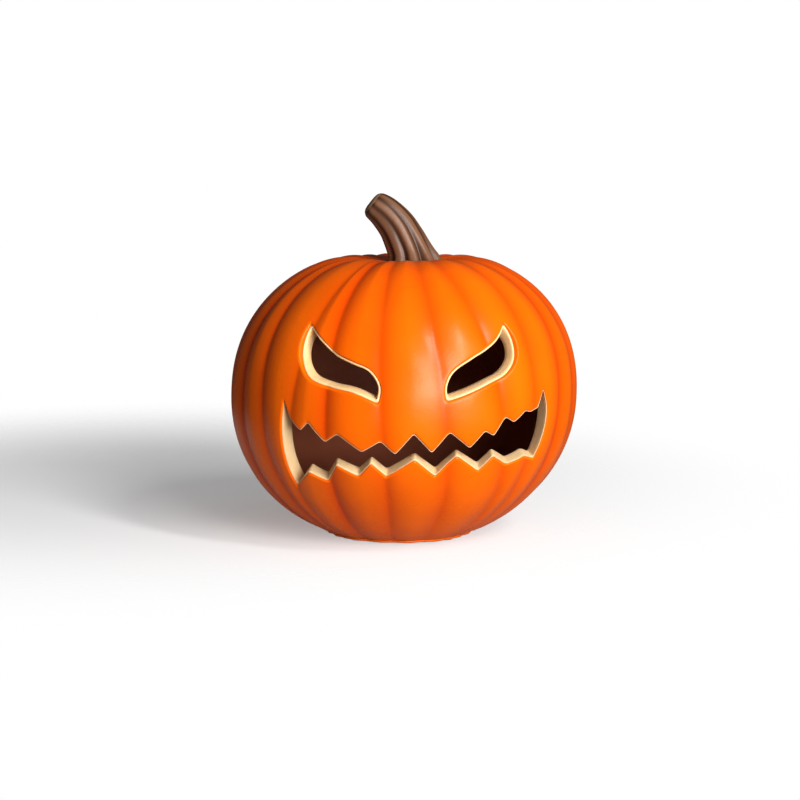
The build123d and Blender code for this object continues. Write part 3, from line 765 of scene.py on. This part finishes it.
def stem_bark():
    finish = Finish("stem_glaze", Roughness=0.42, Specular_IOR_Level=0.4)
    # painted light and shade on the ribs: lighter on the crests, darker and darker into the grooves where
    # shadow falls
    ribs = finish.ramp(
        finish.tint(),
        (0.1, (0.21, 0.105, 0.056)),
        (0.6, (0.14, 0.064, 0.032)),
        (0.95, (0.07, 0.028, 0.013)),
    )
    streaks = finish.noise(120, 4, 0.6, stretch=(1.0, 1.0, 0.25))
    worn = finish.ramp(streaks, (0.3, (0.75, 0.72, 0.70)), (0.7, (1.0, 1.0, 1.0)))
    finish.feed("Base Color", finish.mixed(1.0, ribs, worn, "MULTIPLY"))
    finish.bump(streaks, 0.0004, 0.4)
    finish.bump(finish.noise(900, 3), 0.00006, 0.5)
    return finish.material


def stem_end():
    finish = Finish("stem_end", Roughness=0.5, Specular_IOR_Level=0.4)
    cloud = finish.noise(250, 5)
    finish.feed("Base Color", finish.ramp(cloud, (0.3, (0.17, 0.095, 0.055)), (0.7, (0.27, 0.16, 0.10))))
    finish.bump(cloud, 0.0003, 0.5)
    return finish.material


def mottled(name, dark, light, scale, roughness, grain, **constants):
    """A plain stuff: two close colours in a soft mottle, and a fine grain."""
    finish = Finish(name, Roughness=roughness, **constants)
    finish.feed("Base Color", finish.ramp(finish.noise(scale, 5), (0.3, dark), (0.7, light)))
    finish.bump(finish.noise(grain, 3), 0.00008, 0.6)
    return finish.material


# ---- Assembly --------------------------------------------------------------------------------

shell = make_shell([orange_glaze(), cavity_glaze(), bare_clay()])
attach(shell, "pumpkin")
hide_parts("pumpkin_shell")

slip = cream_slip()
for name, cut in CUTS.items():
    coat = make_slip(f"{name}_slip", cut, slip)
    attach(coat, "pumpkin")
    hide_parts(f"{name}_trim")

stem = make_stem(stem_bark(), stem_end())
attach(stem, "pumpkin")
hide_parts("stem")

IVORY = mottled("ivory_plastic", (0.80, 0.75, 0.62), (0.88, 0.84, 0.73), 200, 0.5, 2500)
MILKY = mottled("milky_plastic", (0.90, 0.85, 0.72), (0.96, 0.92, 0.82), 150, 0.35, 1500,
                Transmission_Weight=0.4)
BLACK = mottled("black_plastic", (0.02, 0.02, 0.02), (0.04, 0.04, 0.04), 300, 0.45, 2500)
RUBBER = mottled("black_rubber", (0.02, 0.02, 0.02), (0.035, 0.035, 0.035), 150, 0.7, 1500)
FELT = mottled("grey_felt", (0.16, 0.16, 0.15), (0.34, 0.33, 0.31), 900, 0.95, 2500)
SCREW = mottled("screw_steel", (0.55, 0.55, 0.55), (0.68, 0.68, 0.68), 500, 0.25, 2000, Metallic=1.0)
CELL = mottled("cell_steel", (0.58, 0.58, 0.57), (0.70, 0.70, 0.69), 300, 0.32, 3000, Metallic=1.0)
SPRING = mottled("contact_metal", (0.72, 0.64, 0.44), (0.82, 0.75, 0.55), 400, 0.3, 2500, Metallic=1.0)
CASE = mottled("switch_metal", (0.48, 0.48, 0.49), (0.60, 0.60, 0.61), 400, 0.35, 2500, Metallic=1.0)
BOARD = mottled("board_laminate", (0.04, 0.22, 0.09), (0.07, 0.31, 0.13), 250, 0.4, 1800)
AMBER = mottled("amber_epoxy", (0.85, 0.45, 0.10), (0.95, 0.60, 0.18), 150, 0.1, 600,
                Transmission_Weight=0.7)

KEPT_NODES = {
    "foot_pads": FELT, "lamp_ring": RUBBER, "lamp_cup": IVORY, "lamp_base_plate": IVORY,
    "battery_door": IVORY, "battery_holder": IVORY, "flame_lens": MILKY, "led": AMBER,
    "led_leads": SPRING, "contact_negative": SPRING, "contact_positive": SPRING,
    "switch_pins": SPRING, "coin_cell": CELL, "circuit_board": BOARD, "flicker_chip": BLACK,
    "resistor": BLACK, "switch_knob": BLACK, "switch_case": CASE, "plate_screws": SCREW,
}
for node, material in KEPT_NODES.items():
    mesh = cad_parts[node].data
    mesh.materials.clear()
    mesh.materials.append(material)


# ---- Stage -----------------------------------------------------------------------------------

def make_floor():
    """A pale sheet that lets the white background show, fully so away from the shadow."""
    count, radius = 96, 8.0
    ring = [(radius*cos(2*pi*i/count), radius*sin(2*pi*i/count), 0.0) for i in range(count)]
    mesh = bpy.data.meshes.new("floor")
    mesh.from_pydata(ring, [], [tuple(range(count))])
    material = bpy.data.materials.new("floor_paper")
    material.use_nodes = True
    nodes, links = material.node_tree.nodes, material.node_tree.links
    nodes.clear()
    place = nodes.new("ShaderNodeTexCoord").outputs["Object"]
    away = nodes.new("ShaderNodeVectorMath")
    away.operation = "DISTANCE"
    away.inputs[1].default_value = SHADOW_CENTRE
    fade = nodes.new("ShaderNodeMapRange")
    fade.interpolation_type = "SMOOTHSTEP"
    fade.inputs["From Min"].default_value = FLOOR_FADE[0]
    fade.inputs["From Max"].default_value = FLOOR_FADE[1]
    fade.inputs["To Min"].default_value = FLOOR_SEE_THROUGH
    paper = nodes.new("ShaderNodeBsdfDiffuse")
    paper.inputs["Color"].default_value = (0.95, 0.95, 0.95, 1)
    clear = nodes.new("ShaderNodeBsdfTransparent")
    mix = nodes.new("ShaderNodeMixShader")
    output = nodes.new("ShaderNodeOutputMaterial")
    links.new(place, away.inputs[0])
    links.new(away.outputs["Value"], fade.inputs["Value"])
    links.new(fade.outputs["Result"], mix.inputs["Fac"])
    links.new(paper.outputs["BSDF"], mix.inputs[1])
    links.new(clear.outputs["BSDF"], mix.inputs[2])
    links.new(mix.outputs["Shader"], output.inputs["Surface"])
    mesh.materials.append(material)
    floor = bpy.data.objects.new("floor", mesh)
    bpy.context.scene.collection.objects.link(floor)


def make_softbox(name, azimuth, elevation, distance, size, power):
    """An area light aimed at the object. Azimuth 0 is on the camera's side, 90 on the right."""
    light = bpy.data.lights.new(name, "AREA")
    light.shape = "RECTANGLE"
    light.size, light.size_y = size
    light.energy = power
    a, e = radians(azimuth), radians(elevation)
    aim = Vector((0, 0, EQUATOR_Z*MM))
    away = Vector((sin(a)*cos(e), -cos(a)*cos(e), sin(e)))
    softbox = bpy.data.objects.new(name, light)
    softbox.location = aim + away*distance
    softbox.rotation_euler = away.to_track_quat("Z", "Y").to_euler()
    bpy.context.scene.collection.objects.link(softbox)


def make_world():
    """White behind the object, a dimmer white light from all round, and dimmer still in its gloss."""
    world = bpy.data.worlds.new("studio")
    world.use_nodes = True
    nodes, links = world.node_tree.nodes, world.node_tree.links
    rays = nodes.new("ShaderNodeLightPath")
    backdrop = nodes["Background"]
    backdrop.inputs["Color"].default_value = (1, 1, 1, 1)
    light = None
    for strength, kind in ((FILL, None), (GLOSS_FILL, "Is Glossy Ray"), (1.0, "Is Camera Ray")):
        background = backdrop if kind == "Is Camera Ray" else nodes.new("ShaderNodeBackground")
        background.inputs["Color"].default_value = (1, 1, 1, 1)
        background.inputs["Strength"].default_value = strength
        if light is None:
            light = background.outputs["Background"]
            continue
        mix = nodes.new("ShaderNodeMixShader")
        links.new(rays.outputs[kind], mix.inputs["Fac"])
        links.new(light, mix.inputs[1])
        links.new(background.outputs["Background"], mix.inputs[2])
        light = mix.outputs["Shader"]
    links.new(light, nodes["World Output"].inputs["Surface"])
    bpy.context.scene.world = world


def make_camera():
    lens = bpy.data.cameras.new("camera")
    lens.lens = CAMERA_LENS
    lens.sensor_width = CAMERA_SENSOR
    lens.shift_x = CAMERA_SHIFT_X
    camera = bpy.data.objects.new("camera", lens)
    e = radians(CAMERA_ELEVATION)
    away = Vector((0, -cos(e), sin(e)))
    camera.location = Vector((0, 0, CAMERA_AIM_Z)) + away*CAMERA_DISTANCE
    camera.rotation_euler = away.to_track_quat("Z", "Y").to_euler()
    bpy.context.scene.collection.objects.link(camera)
    bpy.context.scene.camera = camera


make_floor()
make_world()
for name, azimuth, elevation, size, power in SOFTBOXES:
    make_softbox(name, azimuth, elevation, SOFTBOX_DISTANCE, size, power)
make_camera()
view = bpy.context.scene.view_settings
view.view_transform = "Standard"
view.gamma = VIEW_GAMMA
